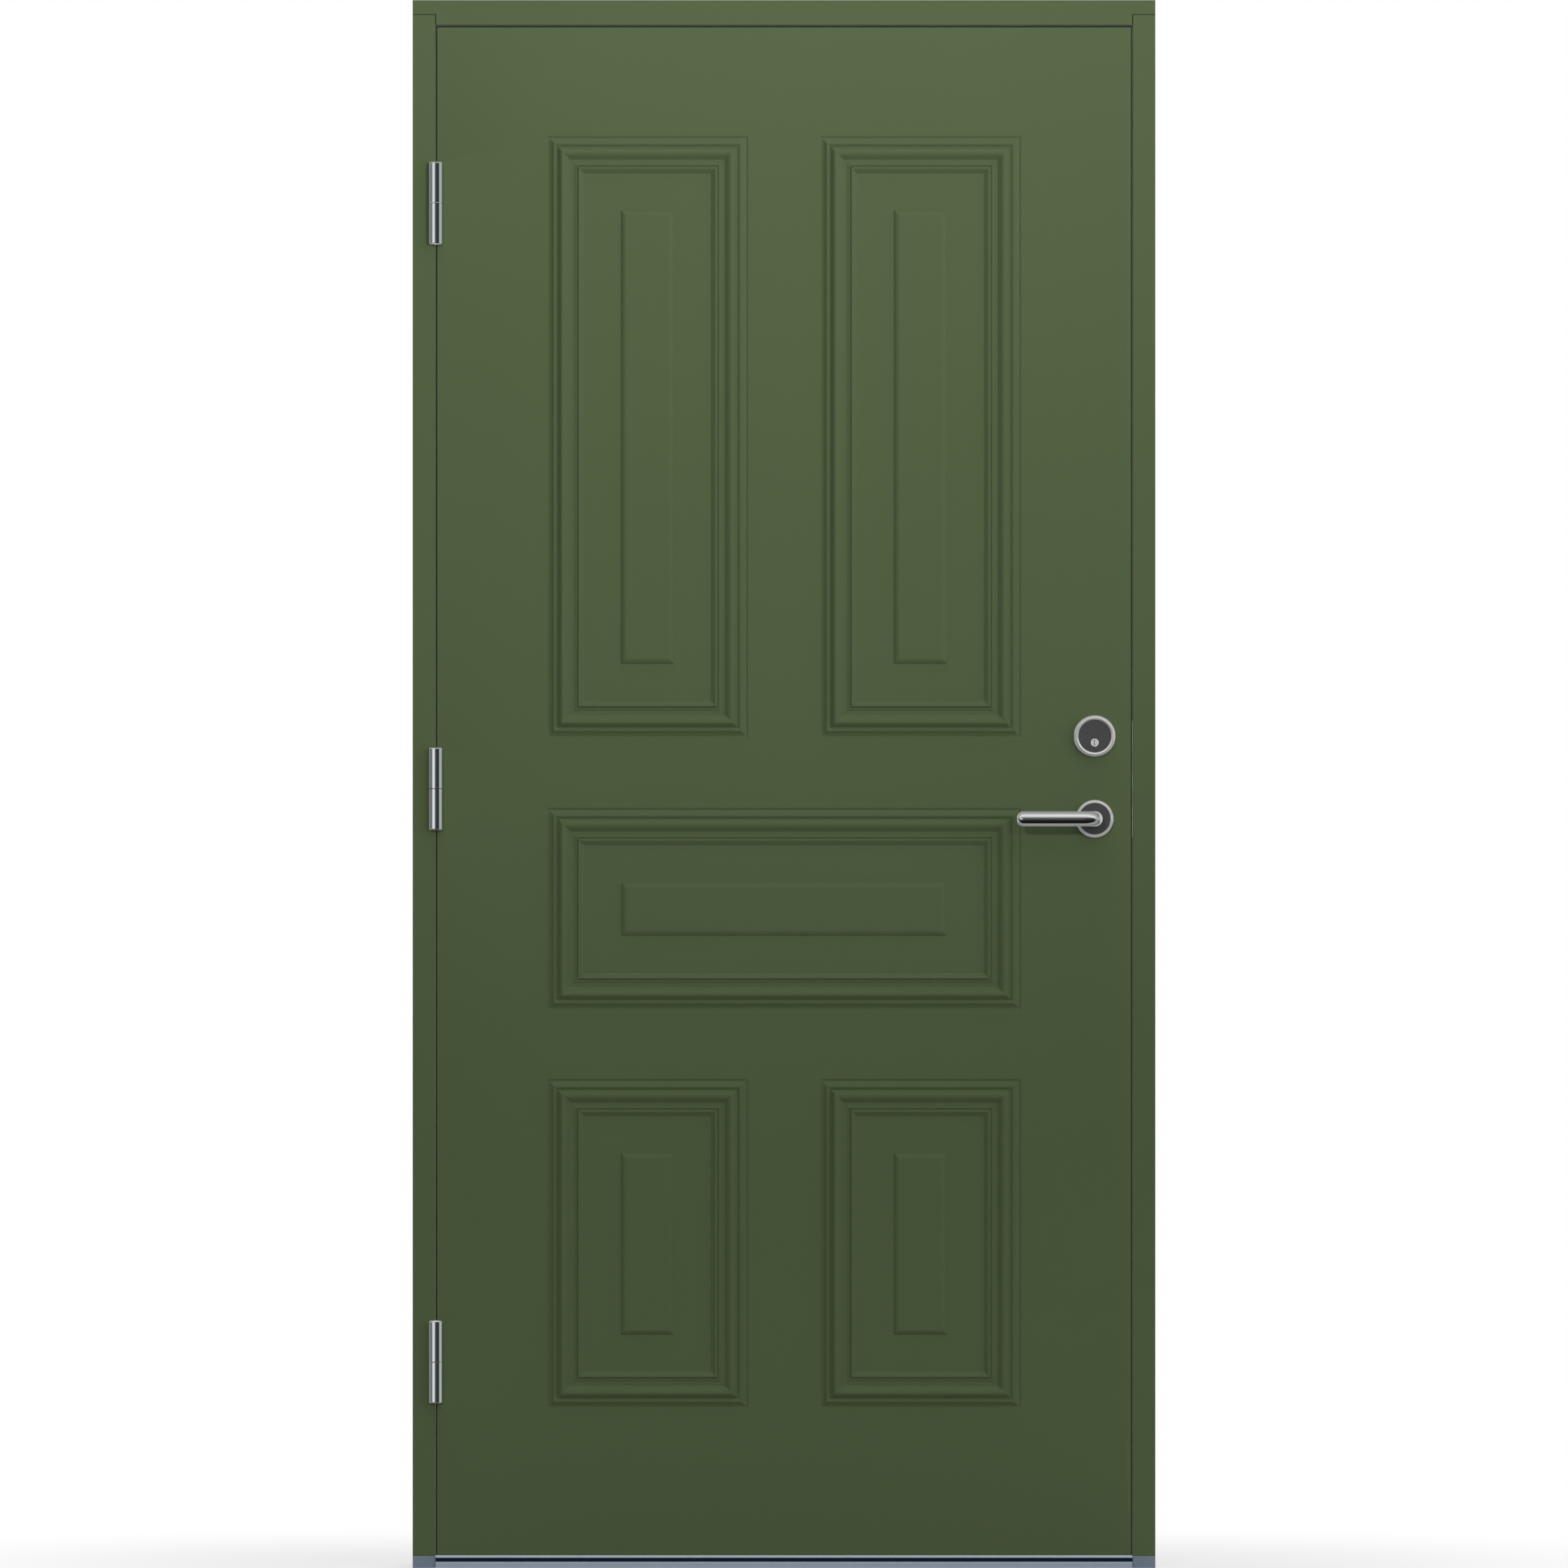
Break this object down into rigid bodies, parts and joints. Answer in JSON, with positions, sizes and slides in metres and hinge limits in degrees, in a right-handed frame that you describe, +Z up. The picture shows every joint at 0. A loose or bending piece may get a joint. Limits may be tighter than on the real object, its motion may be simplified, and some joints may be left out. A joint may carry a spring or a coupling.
{
  "type": "panelled front door",
  "caption": "Outward-opening panelled exterior door in a rebated frame, with lift-off hinges, lever handles, latch and cylinder dead bolt.",
  "frame": {"origin": "middle of the threshold's underside", "axes": "+X towards the lock side seen from outside, +Y from outside to inside, +Z up"},
  "size_m": [0.99, 0.1714, 2.09],
  "materials": {
    "painted_wood": "satin",
    "bare_wood": "matte",
    "insulation": "matte",
    "polished_steel": "polished",
    "satin_steel": "satin",
    "zinc_steel": "satin",
    "dark_face": "satin",
    "aluminium": "satin",
    "grey_plastic": "matte",
    "black_rubber": "matte"
  },
  "bodies": {
    "frame": {"hinge_jamb": "painted_wood", "lock_jamb": "painted_wood", "frame_head": "painted_wood", "threshold_core": "bare_wood", "threshold_cover": "aluminium", "threshold_end_blocks": "grey_plastic", "drip_strip": "black_rubber", "seal_hinge_side": "black_rubber", "seal_lock_side": "black_rubber", "seal_head": "black_rubber", "seal_threshold": "black_rubber", "strike_plate": "satin_steel", "strike_screws": "zinc_steel", "lower_hinge_frame_half": "polished_steel", "middle_hinge_frame_half": "polished_steel", "upper_hinge_frame_half": "polished_steel", "hinge_pins": "zinc_steel", "hinge_washers": "grey_plastic", "frame_hinge_screws": "zinc_steel", "head_screws": "zinc_steel", "foot_screws": "zinc_steel", "threshold_screws": "zinc_steel"},
    "leaf": {"outer_skin": "painted_wood", "inner_skin": "painted_wood", "edge_seal": "grey_plastic", "insulation_core": "insulation", "hinge_stile": "bare_wood", "lock_stile": "bare_wood", "top_rail": "bare_wood", "bottom_rail": "bare_wood", "lower_hinge_leaf_half": "polished_steel", "middle_hinge_leaf_half": "polished_steel", "upper_hinge_leaf_half": "polished_steel", "leaf_hinge_screws": "zinc_steel", "lock_case": "zinc_steel", "lock_cover": "zinc_steel", "case_screws": "zinc_steel", "faceplate": "satin_steel", "faceplate_screws": "zinc_steel", "outer_rose": "polished_steel", "outer_rose_disc": "dark_face", "inner_rose": "polished_steel", "inner_rose_disc": "dark_face", "rose_screws": "zinc_steel", "cylinder_ring": "polished_steel", "cylinder_body": "dark_face", "thumbturn_rose": "polished_steel", "cylinder_screws": "zinc_steel"},
    "handle": {"outer_lever": "satin_steel", "inner_lever": "satin_steel", "spindle": "zinc_steel", "follower": "zinc_steel", "lever_grub_screws": "zinc_steel"},
    "latch": {"latch_bolt": "zinc_steel"},
    "turn": {"key_plug": "satin_steel", "tailpiece": "zinc_steel", "lock_cam": "zinc_steel", "thumbturn": "satin_steel"},
    "bolt": {"dead_bolt": "zinc_steel"}
  },
  "joints": [
    {"name": "door_swing", "type": "hinge", "parent": "frame", "child": "leaf", "pos_m": [-0.4642, -0.0615, 0.275], "axis": [0, 0, -1], "range_deg": [0, 110]},
    {"name": "handle_turn", "type": "hinge", "parent": "leaf", "child": "handle", "pos_m": [0.414, -0.0215, 0.9986], "axis": [0, -1, 0], "range_deg": [0, 45], "stiffness_Nm_per_rad": 1.5, "springref_deg": -28.65},
    {"name": "latch_slide", "type": "slide", "parent": "leaf", "child": "latch", "axis": [-1, 0, 0], "range_m": [0, 0.012]},
    {"name": "thumbturn_turn", "type": "hinge", "parent": "leaf", "child": "turn", "pos_m": [0.414, -0.0215, 1.1002], "axis": [0, -1, 0], "range_deg": [0, 90]},
    {"name": "bolt_throw", "type": "slide", "parent": "leaf", "child": "bolt", "axis": [1, 0, 0], "range_m": [0, 0.02]}
  ],
  "couplings": [
    {"joint": "latch_slide", "follows": "handle_turn", "m_per_rad": 0.015278},
    {"joint": "thumbturn_turn", "follows": "bolt_throw", "rad_per_m": 78.54}
  ]
}
